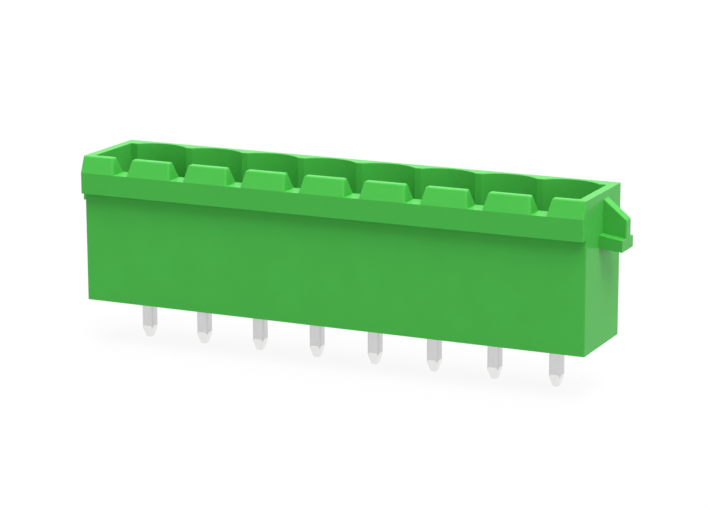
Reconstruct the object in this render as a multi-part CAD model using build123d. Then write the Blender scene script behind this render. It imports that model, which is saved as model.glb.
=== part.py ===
"""Eight-pole vertical board header of a pluggable terminal block.

One moulded housing, open at the top, and eight straight contact pins pressed through its floor.

Frame, in millimetres: +Z up, with the circuit board's face at z = 0. The pin row lies on the X
axis, centred on the origin. The wall with the notches faces -Y.
"""

from build123d import *
import os

# Poles
pole_count = 8
pitch = 5.08

# Housing, outside
end_margin = 3.57  # outermost pin to the end face
front_reach = 3.78  # pin row to the front face, below the collar
rear_reach = 3.70  # pin row to the rear face
height = 11.86
notch_depth = 1.30  # rim to the notch floors
collar_height = 1.69
collar_overhang = 0.65

# Housing, inside
floor_thickness = 3.0
end_wall = 0.73
rib_wall = 1.23  # rear wall at the ribs between the poles
scallop_wall = 0.38  # rear wall at its thinnest, behind each pole
scallop_radius = 3.5

# Front wall above the notch floors
tooth_base = 1.77  # thickness at the notch floors
front_lean = 0.53  # how far the outer face leans in up to the rim
rear_lean = 0.60  # how far the inner face leans out up to the rim
notch_width = 1.20  # at the notch floor
notch_flare = 0.27  # widening on each side up to the rim
tooth_radius = 0.17
corner_radius = 0.1  # upright edges of the end faces
rim_radius = 0.05  # inner edges of the rim

# Bracket on each end face
bracket_reach = 1.83
gusset_thickness = 1.0
gusset_offset = 0.37  # pin row to the middle of the gusset
gusset_drop = 0.53  # rim to the gusset's top, at the wall
shoulder_drop = 2.02  # rim to the gusset's outer corner
shoulder_radius = 0.3
ledge_front = 1.0  # pin row to the ledge's front face
ledge_rear = 1.42  # pin row to the ledge's rear face
ledge_drop = 0.15  # collar's underside to the ledge's top, at the wall
ledge_thickness = 0.98  # at the wall
ledge_top_fall = 0.28  # how far the top falls away from the wall
ledge_bottom_fall = 0.19  # how far the underside falls away from the wall
bracket_radius = 0.08

# Contact pins
pin_width = 1.0
pin_chamfer = 0.23
pin_clearance = 0.0  # a press fit, drawn face to face
tail_length = 3.63  # below the board's face
tail_taper = 1.05
tail_tip = 0.45
contact_length = 5.4  # above the cavity's floor
contact_taper = 0.9
contact_tip = 0.5

# Places that follow from the sizes
pole_places = [(i - (pole_count - 1) / 2) * pitch for i in range(pole_count)]
half_length = pole_places[-1] + end_margin
half_cavity = half_length - end_wall
notch_floor = height - notch_depth
collar_bottom = notch_floor - collar_height
collar_face = -front_reach - collar_overhang
front_inside = collar_face + tooth_base
rib_face = rear_reach - rib_wall
scallop_depth = rear_reach - scallop_wall
above = height + 1.0  # where cuts that open upwards end


def prism(points, travel):
    """Returns the solid that a flat outline sweeps over a straight travel."""
    outline = Face(Wire.make_polygon([Vector(*p) for p in points], close=True))
    return Solid.extrude(outline, Vector(*travel))


def along_x(outline, low, high):
    """Returns a prism with an outline of (y, z) points between two places along X."""
    return prism([(low, y, z) for y, z in outline], (high - low, 0, 0))


def along_y(outline, low, high):
    """Returns a prism with an outline of (x, z) points between two places along Y."""
    return prism([(x, low, z) for x, z in outline], (0, high - low, 0))


def block(low, high):
    """Returns an upright block between two opposite corners."""
    size = [b - a for a, b in zip(low, high)]
    return Pos(*low) * Box(*size, align=(Align.MIN, Align.MIN, Align.MIN))


def outer_block():
    """Returns the housing's outer form, from its section across the pin row."""
    section = [
        (-front_reach, 0),
        (rear_reach, 0),
        (rear_reach, height),
        (collar_face + front_lean, height),
        (collar_face, notch_floor),
        (collar_face, collar_bottom),
        (-front_reach, collar_bottom),
    ]
    return along_x(section, -half_length, half_length)


def cavity():
    """Returns the socket's inner space: flat ends, a leaning front, and one scallop for each pole."""
    space = block((-half_cavity, front_inside, floor_thickness), (half_cavity, rib_face, above))
    scallop_centre = scallop_depth - scallop_radius
    for x in pole_places:
        column = Pos(x, scallop_centre, floor_thickness) * Cylinder(
            scallop_radius, above - floor_thickness, align=(Align.CENTER, Align.CENTER, Align.MIN)
        )
        behind = block((x - pitch / 2, 0, floor_thickness), (x + pitch / 2, rear_reach, above))
        space += column & behind
    rise = (above - notch_floor) / notch_depth
    lean = [
        (front_inside, notch_floor),
        (front_inside - rear_lean * rise, above),
        (front_inside, above),
    ]
    return space + along_x(lean, -half_cavity, half_cavity)


def notches():
    """Returns the tapered cuts through the front wall, one in front of each pole."""
    rise = (above - notch_floor) / notch_depth
    low = notch_width / 2
    high = low + notch_flare * rise
    cuts = []
    for x in pole_places:
        outline = [(x - low, notch_floor), (x + low, notch_floor), (x + high, above), (x - high, above)]
        cuts.append(along_y(outline, collar_face - 1.0, 0))
    return cuts


def tooth_edges(solid):
    """Returns the edges of the teeth that are rounded: their slanting sides and their tops."""
    half_notch = notch_width / 2
    picked = []
    for e in solid.edges():
        box = e.bounding_box()
        on_teeth = box.max.Y < front_inside + 1e-6 and box.min.Z > notch_floor - 1e-6
        rises = box.size.Z > notch_depth / 2
        on_top = box.min.Z > height - 1e-6
        beside_notch = any(
            half_notch - 1e-6 < abs(e.center().X - x) < half_notch + notch_flare + 1e-6 for x in pole_places
        )
        if on_teeth and (on_top or (rises and beside_notch)):
            picked.append(e)
    return picked


def corner_edges(solid):
    """Returns the upright edges of the end faces, apart from those of the collar and the teeth above it."""
    return [
        e
        for e in solid.edges()
        if abs(abs(e.center().X) - half_length) < 1e-6
        and e.bounding_box().size.Z > notch_depth / 2
        and e.center().Y > -front_reach - 1e-6
    ]


def collar_corner(side):
    """Returns the cut that rounds the front corner of the collar and of the leaning face above it.

    The rim's outer edge stays sharp there, which a fillet along the same corner would round too.
    """
    reach = 1.0
    run = collar_height + notch_depth
    centre = Pos(-side * corner_radius, corner_radius)
    outwards = Align.MIN if side > 0 else Align.MAX
    section = centre * (Rectangle(reach, reach, align=(outwards, Align.MAX)) - Circle(corner_radius))
    bend = (side * half_length, collar_face, notch_floor)
    cut = None
    for climb in ((0, 0, 1), (0, front_lean, notch_depth)):
        rod = extrude(Plane(origin=bend, x_dir=(1, 0, 0), z_dir=climb) * section, run, both=True)
        cut = rod if cut is None else cut + rod
    return cut


def rim_edges(solid):
    """Returns the edges of the rim around the socket, at the ends and along the scalloped wall."""
    picked = []
    for e in solid.edges():
        box = e.bounding_box()
        on_rim = box.min.Z > height - 1e-6
        along_end = abs(abs(e.center().X) - half_cavity) < 1e-6
        along_rear = rib_face - 1e-6 < box.min.Y and box.max.Y < scallop_depth + 1e-6
        if on_rim and (along_end or along_rear):
            picked.append(e)
    return picked


def bracket(side):
    """Returns the bracket on one end face: a sloping ledge with an upright gusset on it."""
    root = side * (half_length - end_wall / 2)
    wall = side * half_length
    tip = side * (half_length + bracket_reach)
    ledge_top = collar_bottom - ledge_drop
    ledge_bottom = ledge_top - ledge_thickness
    ledge = along_y(
        [
            (root, ledge_bottom),
            (wall, ledge_bottom),
            (tip, ledge_bottom - ledge_bottom_fall),
            (tip, ledge_top - ledge_top_fall),
            (wall, ledge_top),
            (root, ledge_top),
        ],
        -ledge_front,
        ledge_rear,
    )
    gusset_top = height - gusset_drop
    shoulder = height - shoulder_drop
    middle = (ledge_top + ledge_bottom) / 2
    gusset = along_y(
        [
            (root, middle),
            (tip, middle - ledge_bottom_fall),
            (tip, shoulder),
            (wall, gusset_top),
            (root, gusset_top),
        ],
        gusset_offset - gusset_thickness / 2,
        gusset_offset + gusset_thickness / 2,
    )
    corner = [
        e for e in gusset.edges() if abs(e.center().X - tip) < 1e-6 and abs(e.center().Z - shoulder) < 1e-6
    ]
    gusset = gusset.fillet(shoulder_radius, corner)
    rounded = [
        e
        for e in gusset.edges()
        if e.bounding_box().size.Y < 1e-6
        and e.center().Z > middle
        and abs(e.center().X) > half_length
    ]
    gusset = gusset.fillet(bracket_radius, rounded)
    return ledge + gusset


def pin_section(z, width, chamfer):
    """Returns a square outline with cut corners, centred on the Z axis at one height."""
    a = width / 2
    b = a - chamfer
    corners = [(a, -b), (a, b), (b, a), (-b, a), (-a, b), (-a, -b), (-b, -a), (b, -a)]
    return Wire.make_polygon([Vector(x, y, z) for x, y in corners], close=True)


def pin_shaft(low, high, clearance=0.0):
    """Returns a straight length of the pin's section, grown by a clearance."""
    section = pin_section(low, pin_width + 2 * clearance, pin_chamfer)
    return Solid.extrude(Face(section), Vector(0, 0, high - low))


def pin_point(base, tip, tip_width):
    """Returns the tapered end of a pin between two heights."""
    share = tip_width / pin_width
    wide = pin_section(base, pin_width, pin_chamfer)
    narrow = pin_section(tip, tip_width, pin_chamfer * share)
    return Solid.make_loft([wide, narrow], True)


def contact_pin():
    """Returns one contact pin on the Z axis: solder tail, press-fit length and contact."""
    tail_end = -tail_length
    contact_end = floor_thickness + contact_length
    shaft = pin_shaft(tail_end + tail_taper, contact_end - contact_taper)
    tail = pin_point(tail_end + tail_taper, tail_end, tail_tip)
    contact = pin_point(contact_end - contact_taper, contact_end, contact_tip)
    return shaft + tail + contact


def housing():
    """Returns the moulded housing with its brackets and the holes that grip the pins."""
    solid = outer_block() - cavity()
    for cut in notches():
        solid -= cut
    solid = solid.fillet(tooth_radius, tooth_edges(solid))
    solid = solid.fillet(corner_radius, corner_edges(solid))
    solid = solid.fillet(rim_radius, rim_edges(solid))
    for side in (-1, 1):
        solid -= collar_corner(side)
        solid += bracket(side)
    hole = pin_shaft(-1.0, floor_thickness + 1.0, pin_clearance)
    for x in pole_places:
        solid -= Pos(x, 0, 0) * hole
    return solid


os.makedirs("parts", exist_ok=True)
export_step(housing(), "parts/housing.step")
for number, x in enumerate(pole_places, 1):
    export_step(Pos(x, 0, 0) * contact_pin(), f"parts/contact_pin_{number}.step")
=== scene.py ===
"""Looks of the eight-pole board header: glossy moulded green housing and tinned contact pins.

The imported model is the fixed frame, in metres. This script gives the housing its finish and draws the
pins, with round corners and four-faced points, in the solid pins' places. It stands them over a white
floor at the level of the tips, and sets the lamps and the camera.
"""

import math

import bmesh
import bpy
import numpy as np
from mathutils import Matrix, Vector


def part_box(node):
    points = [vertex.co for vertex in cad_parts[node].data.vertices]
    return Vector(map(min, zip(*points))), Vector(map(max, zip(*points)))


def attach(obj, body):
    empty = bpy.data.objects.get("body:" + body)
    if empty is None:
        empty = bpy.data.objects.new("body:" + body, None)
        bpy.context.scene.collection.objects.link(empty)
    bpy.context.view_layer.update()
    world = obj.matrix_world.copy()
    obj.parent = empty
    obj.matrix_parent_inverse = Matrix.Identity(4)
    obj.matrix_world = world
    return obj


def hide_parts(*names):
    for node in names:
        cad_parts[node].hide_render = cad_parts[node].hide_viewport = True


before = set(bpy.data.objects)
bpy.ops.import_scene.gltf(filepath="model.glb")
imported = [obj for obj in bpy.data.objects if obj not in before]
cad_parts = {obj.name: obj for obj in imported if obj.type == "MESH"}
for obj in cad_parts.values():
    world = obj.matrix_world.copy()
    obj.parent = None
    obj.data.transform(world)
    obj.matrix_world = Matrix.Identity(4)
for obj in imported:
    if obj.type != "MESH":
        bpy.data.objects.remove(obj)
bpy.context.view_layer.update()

MM = 0.001

# Camera, solved from the photograph's edges
PHOTO_WIDTH = 710
FOCAL_PIXELS = 2575.5
AZIMUTH = 25.149
ELEVATION = 13.169
ROLL = -0.153
DISTANCE = 202.05 * MM
AIM_HEIGHT = 6.0 * MM  # the point above the origin that the camera is swung round
SLIDE_RIGHT = 0.725 * MM
SLIDE_UP = -1.04 * MM
SENSOR_WIDTH = 36.0  # in millimetres, as the camera takes it
CLIP_RATIO = 100  # how many times nearer and how many times farther than the object it sees

# Lamps and surroundings
WORLD_LEVEL = 0.2
LAMP_DISTANCE = 4.0
LAMP_SIZE = 2.6
LAMPS = (  # name, azimuth, elevation, level
    ("above", 0, 90, 0.39),
    ("high_right", 45, 60, 0.95),
    ("high_behind", 180, 60, 0.69),
    ("side_left", -90, 30, 0.1),
    ("low_left", -45, 5, 0.44),
    ("low_right", 90, 5, 0.46),
)
FILLS = ("above", "high_behind", "low_left", "low_right")  # lamps that show in no reflection
WHITE = (1.0, 1.0, 1.0, 1.0)

# Floor
FLOOR_HALF = 2.0  # half its side
FLOOR_BOUNCE = 0.34  # its lightness for the light that it hands on
FLOOR_GLOW = 0.92  # where it is seen, the white that no shadow takes away
FLOOR_SHADE = 0.055  # where it is seen, the lightness of what a shadow takes away

# Plastic
PLASTIC_GREEN = (0.063, 0.43, 0.063, 1.0)
PLASTIC_IOR = 1.15
PLASTIC_ROUGHNESS = 0.22
PATCH_ROUGHNESS = 0.06  # what the roughest patches add
PATCH_SIZE = 0.5 * MM
LUMP_SIZE = 2.2 * MM  # of the colour
WAVE_SIZE = 1.6 * MM
WAVE_SHARE = 0.7  # of the relief
GRAIN_SIZE = 0.09 * MM
GRAIN_SHARE = 0.02  # of the relief
PLASTIC_RELIEF = 0.001 * MM

# Tin
TIN_SHAFT = (0.645, 0.645, 0.645, 1.0)
# painted reflection: the points' tin is lighter than the shaft's to stand in for the white floor that
# their down-turned faces reflect; only their smoother gloss is real
TIN_POINT_WITH_PAINTED_REFLECTION = (0.85, 0.85, 0.84, 1.0)
SHAFT_ROUGHNESS = 0.34
POINT_ROUGHNESS = 0.14
LINE_ROUGHNESS = 0.08  # what the roughest lines add
LINE_SIZE = 0.05 * MM  # across the pin
LINE_STRETCH = 14.0  # how many times longer along it
LINE_RELIEF = 0.0003 * MM
CLOUD_SIZE = 0.6 * MM  # of the colour

TINT = 0.04  # the share by which each colour strays to either side

# Pins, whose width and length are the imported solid's
PIN_CORNER = 0.23 * MM  # radius of the corners
PIN_CORNER_STEPS = 12
TAIL_POINT = (1.0 * MM, 0.47 * MM)  # length of the point, width of its end
CONTACT_POINT = (0.9 * MM, 0.5 * MM)
POINT_EDGE = 0.06 * MM  # taken off round the end
SAME_PLACE = 0.0001 * MM  # points nearer than this are one
FLAT = math.radians(1)  # a bend between faces up to which they are one
SHARP = math.radians(10)  # a bend between faces from which it shows as an edge
SHAFT_RISE = 0.1  # a face whose normal rises less than this is the shaft's
END_RISE = 0.9  # a face whose normal rises more than this is a cut end

pins = sorted(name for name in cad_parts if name.startswith("contact_pin_"))
tip_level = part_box(pins[0])[0].z


class Signal:
    """A node's output, so that maths on it reads as a Python expression and adds its Math nodes."""

    def __init__(self, recipe, socket):
        self.recipe = recipe
        self.socket = socket

    def __add__(self, other):
        return self.recipe.math("ADD", self, other)

    def __mul__(self, other):
        return self.recipe.math("MULTIPLY", self, other)

    __radd__ = __add__
    __rmul__ = __mul__


class Recipe:
    """A node tree that is filled by one method, which makes any node."""

    def __init__(self, owner):
        owner.use_nodes = True
        self.owner = owner
        self.tree = owner.node_tree
        self.tree.nodes.clear()

    def node(self, kind, settings, sockets, output=0):
        """Adds a node, sets it up, feeds its sockets with values or signals, and returns an output."""
        made = self.tree.nodes.new(kind)
        for name, value in settings.items():
            setattr(made, name, value)
        for key, value in sockets.items():
            if isinstance(value, Signal):
                self.tree.links.new(value.socket, made.inputs[key])
            else:
                made.inputs[key].default_value = value
        if not made.outputs:
            return None
        return Signal(self, made.outputs[output])

    def math(self, operation, first, second):
        """What a Math node makes of two values."""
        return self.node("ShaderNodeMath", {"operation": operation}, {0: first, 1: second})

    def place(self):
        """The point's place in the object's own metres."""
        return self.node("ShaderNodeTexCoord", {}, {}, "Object")

    def noise(self, size, detail=2.0, stretch=(1.0, 1.0, 1.0)):
        """Smooth noise from 0 to 1 with lumps of a size in metres, drawn out along an axis where asked."""
        spot = self.node(
            "ShaderNodeVectorMath",
            {"operation": "MULTIPLY"},
            {0: self.place(), 1: [1.0 / (size * times) for times in stretch]},
        )
        sockets = {"Vector": spot, "Scale": 1.0, "Detail": detail}
        return self.node("ShaderNodeTexNoise", {}, sockets, "Fac")

    def uneven(self, colour, mask):
        """A colour that is a little darker where a mask is 0 and a little lighter where it is 1."""
        # A Mix node takes its two colours at sockets 6 and 7 and gives the third output
        sockets = {0: mask, 6: tinted(colour, 1 - TINT), 7: tinted(colour, 1 + TINT)}
        return self.node("ShaderNodeMix", {"data_type": "RGBA"}, sockets, 2)

    def bump(self, height, distance):
        """A normal that leans as a surface would whose height is this share of a distance in metres."""
        sockets = {"Height": height, "Distance": distance, "Strength": 1.0}
        return self.node("ShaderNodeBump", {}, sockets)

    def seen(self):
        """1 for rays from the camera, from gloss and through glass, else 0."""
        rays = self.node("ShaderNodeLightPath", {}, {}, "Is Camera Ray")
        for name in ("Is Glossy Ray", "Is Transmission Ray"):
            rays = rays + self.node("ShaderNodeLightPath", {}, {}, name)
        return self.node("ShaderNodeClamp", {}, {"Value": rays})

    def material(self, surface):
        """Ends the tree in this surface, and returns the material."""
        self.node("ShaderNodeOutputMaterial", {}, {"Surface": surface})
        return self.owner


def tinted(colour, share):
    """A colour with its brightness scaled."""
    return [channel * share for channel in colour[:3]] + [1.0]


def moulded_plastic():
    """Glossy green polyamide: faint lumps of colour, a gloss that varies in patches, and the slight
    waviness that a moulded face has, with a finer grain on it."""
    recipe = Recipe(bpy.data.materials.new("moulded_green"))
    patches = recipe.noise(PATCH_SIZE)
    waves = recipe.noise(WAVE_SIZE, detail=0.0)
    grain = recipe.noise(GRAIN_SIZE)
    sockets = {
        "Base Color": recipe.uneven(PLASTIC_GREEN, recipe.noise(LUMP_SIZE)),
        "Roughness": PLASTIC_ROUGHNESS + PATCH_ROUGHNESS * patches,
        "IOR": PLASTIC_IOR,
        "Normal": recipe.bump(WAVE_SHARE * waves + GRAIN_SHARE * grain, PLASTIC_RELIEF),
    }
    return recipe.material(recipe.node("ShaderNodeBsdfPrincipled", {}, sockets))


def tinned_metal(name, tin, roughness):
    """Tin plating, with a clouded colour and fine lines drawn along the pin."""
    recipe = Recipe(bpy.data.materials.new(name))
    lines = recipe.noise(LINE_SIZE, stretch=(1.0, 1.0, LINE_STRETCH))
    sockets = {
        "Base Color": recipe.uneven(tin, recipe.noise(CLOUD_SIZE)),
        "Metallic": 1.0,
        "Roughness": roughness + LINE_ROUGHNESS * lines,
        "Normal": recipe.bump(lines, LINE_RELIEF),
    }
    return recipe.material(recipe.node("ShaderNodeBsdfPrincipled", {}, sockets))


def floor_paint():
    """White floor: matt to the light that it hands on, and white with its shadows kept where it is seen.
    From below it is clear."""
    recipe = Recipe(bpy.data.materials.new("floor_white"))
    bounce = recipe.node("ShaderNodeBsdfDiffuse", {}, {"Color": tinted(WHITE, FLOOR_BOUNCE)})
    shade = recipe.node("ShaderNodeBsdfDiffuse", {}, {"Color": tinted(WHITE, FLOOR_SHADE)})
    glow = recipe.node("ShaderNodeEmission", {}, {"Color": WHITE, "Strength": FLOOR_GLOW})
    white = recipe.node("ShaderNodeAddShader", {}, {0: shade, 1: glow})
    front = recipe.node("ShaderNodeMixShader", {}, {0: recipe.seen(), 1: bounce, 2: white})
    back = recipe.node("ShaderNodeNewGeometry", {}, {}, "Backfacing")
    clear = recipe.node("ShaderNodeBsdfTransparent", {}, {"Color": WHITE})
    return recipe.material(recipe.node("ShaderNodeMixShader", {}, {0: back, 1: front, 2: clear}))


def pin_outline(half):
    """Points across a pin: a square with this half width, whose corners are quarter circles."""
    turns = np.linspace(0, math.pi / 2, PIN_CORNER_STEPS + 1)
    corner = half - PIN_CORNER + PIN_CORNER * np.array([np.cos(turns), np.sin(turns)])
    signs = np.array([(1, 1), (-1, 1), (-1, -1), (1, -1)])
    return (signs[:, :, None] * corner).transpose(0, 2, 1).reshape(-1, 2)


def point_rings(half, length, width):
    """Distances from a pin's end, and the point's half width at each.

    After the cut edge the half width grows in a straight line with the distance. The rings lie where
    the point's faces pass through the corners' steps.
    """
    turns = np.linspace(0, math.pi / 4, PIN_CORNER_STEPS // 2 + 1)
    corner = half - PIN_CORNER + PIN_CORNER * np.cos(turns)
    end = width / 2
    widths = np.concatenate([[end - POINT_EDGE, end], corner[::-1]])
    rise = (length - POINT_EDGE) / (half - end)
    away = POINT_EDGE + (widths - end) * rise
    away[0] = 0.0
    return away, widths


def pin_points(low, high):
    """The points of a pin that fills the box between two corners, as rings along it.

    Each ring is the outline held within plus and minus the point's half width there, so that a point
    has four flat faces. At the shaft the outline is whole.
    """
    half = (high.x - low.x) / 2
    middle = np.array([(low.x + high.x) / 2, (low.y + high.y) / 2, 0.0])
    tail_away, tail_widths = point_rings(half, *TAIL_POINT)
    contact_away, contact_widths = point_rings(half, *CONTACT_POINT)
    heights = np.concatenate([low.z + tail_away, high.z - contact_away])
    widths = np.concatenate([tail_widths, contact_widths])[:, None, None]
    across = np.clip(pin_outline(half), -widths, widths)
    along = np.broadcast_to(heights[:, None, None], across.shape[:2] + (1,))
    return np.concatenate([across, along], axis=2).reshape(-1, 3) + middle


def wrap(mesh, points):
    """Fills a mesh with the hull round these points, with one face for each flat."""
    mesh.from_pydata(points, [], [])
    shape = bmesh.new()
    shape.from_mesh(mesh)
    bmesh.ops.remove_doubles(shape, verts=shape.verts, dist=SAME_PLACE)
    hull = bmesh.ops.convex_hull(shape, input=shape.verts)
    left_over = hull["geom_interior"] + hull["geom_unused"]
    spare = {part for part in left_over if isinstance(part, bmesh.types.BMVert)}
    bmesh.ops.delete(shape, geom=list(spare), context="VERTS")
    bmesh.ops.dissolve_limit(shape, angle_limit=FLAT, verts=shape.verts, edges=shape.edges)
    bmesh.ops.recalc_face_normals(shape, faces=shape.faces)
    shape.to_mesh(mesh)
    shape.free()


def pin(node, finishes):
    """A drawn wire in a solid pin's place: finish 0 on its shaft and cut ends, 1 on its points, whose
    lighter tin is a painted reflection.
    """
    mesh = bpy.data.meshes.new(node.replace("contact_", "tinned_"))
    wrap(mesh, pin_points(*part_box(node)))
    for finish in finishes:
        mesh.materials.append(finish)
    normals = np.empty(3 * len(mesh.polygons))
    mesh.polygons.foreach_get("normal", normals)
    rises = np.abs(normals[2::3])
    # the sloping faces of the points take the lighter tin, a painted reflection of the floor below them
    mesh.polygons.foreach_set("material_index", ((rises > SHAFT_RISE) & (rises < END_RISE)).astype(int))
    mesh.shade_smooth()
    mesh.set_sharp_from_angle(angle=SHARP)
    piece = bpy.data.objects.new(mesh.name, mesh)
    bpy.context.scene.collection.objects.link(piece)
    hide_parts(node)
    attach(piece, "root")


def dress_pins():
    """Sets a drawn pin with a duller shaft and points lightened by a painted reflection in each solid
    pin's place.
    """
    shaft = tinned_metal("tin_shaft", TIN_SHAFT, SHAFT_ROUGHNESS)
    # the points' finish carries a painted reflection in its lighter colour
    point = tinned_metal("tin_point_painted_reflection", TIN_POINT_WITH_PAINTED_REFLECTION, POINT_ROUGHNESS)
    for node in pins:
        pin(node, (shaft, point))


def dress_housing():
    """Gives the housing its finish."""
    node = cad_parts["housing"]
    node.material_slots[0].link = "OBJECT"
    node.material_slots[0].material = moulded_plastic()


def floor():
    """A flat square under the object, at the level of the tips."""
    mesh = bpy.data.meshes.new("floor")
    corners = np.array([(-1, -1, 0), (1, -1, 0), (1, 1, 0), (-1, 1, 0)]) * FLOOR_HALF
    mesh.from_pydata(corners + (0, 0, tip_level), [], [(0, 1, 2, 3)])
    mesh.materials.append(floor_paint())
    piece = bpy.data.objects.new("floor", mesh)
    bpy.context.scene.collection.objects.link(piece)


def surroundings():
    """White where it is seen, and an even soft light elsewhere."""
    recipe = Recipe(bpy.data.worlds.new("surroundings"))
    strength = WORLD_LEVEL + (1.0 - WORLD_LEVEL) * recipe.seen()
    light = recipe.node("ShaderNodeBackground", {}, {"Color": WHITE, "Strength": strength})
    recipe.node("ShaderNodeOutputWorld", {}, {"Surface": light})
    bpy.context.scene.world = recipe.owner


def direction(azimuth, elevation):
    """Unit vector from the object towards a viewer: azimuth 0 is in front, 90 is at +X."""
    turn = math.radians(azimuth)
    rise = math.radians(elevation)
    across = math.cos(rise)
    return Vector((math.sin(turn) * across, -math.cos(turn) * across, math.sin(rise)))


def lamp(name, azimuth, elevation, level):
    """A square soft lamp that gives a white matt face turned towards it about this level."""
    data = bpy.data.lights.new(name, "AREA")
    data.shape = "SQUARE"
    data.size = LAMP_SIZE
    data.energy = level * (math.pi * LAMP_DISTANCE) ** 2
    piece = bpy.data.objects.new(name, data)
    towards = direction(azimuth, elevation)
    piece.location = towards * LAMP_DISTANCE + Vector((0, 0, AIM_HEIGHT))
    piece.rotation_euler = towards.to_track_quat("Z", "Y").to_euler()
    piece.visible_glossy = name not in FILLS
    bpy.context.scene.collection.objects.link(piece)


def camera():
    """The photograph's viewpoint."""
    back = direction(AZIMUTH, ELEVATION)
    right = Vector((math.cos(math.radians(AZIMUTH)), math.sin(math.radians(AZIMUTH)), 0))
    up = back.cross(right)
    turn = math.radians(ROLL)
    across = right * math.cos(turn) + up * math.sin(turn)
    above = up * math.cos(turn) - right * math.sin(turn)
    data = bpy.data.cameras.new("camera")
    data.sensor_width = SENSOR_WIDTH
    data.lens = SENSOR_WIDTH * FOCAL_PIXELS / PHOTO_WIDTH
    data.clip_start = DISTANCE / CLIP_RATIO
    data.clip_end = DISTANCE * CLIP_RATIO
    piece = bpy.data.objects.new("camera", data)
    aim = Vector((0, 0, AIM_HEIGHT))
    spot = aim + right * SLIDE_RIGHT + up * SLIDE_UP + back * DISTANCE
    piece.matrix_world = Matrix.Translation(spot) @ Matrix((across, above, back)).transposed().to_4x4()
    bpy.context.scene.collection.objects.link(piece)
    bpy.context.scene.camera = piece


dress_housing()
dress_pins()
floor()
surroundings()
for settings in LAMPS:
    lamp(*settings)
camera()
bpy.context.scene.view_settings.view_transform = "Standard"
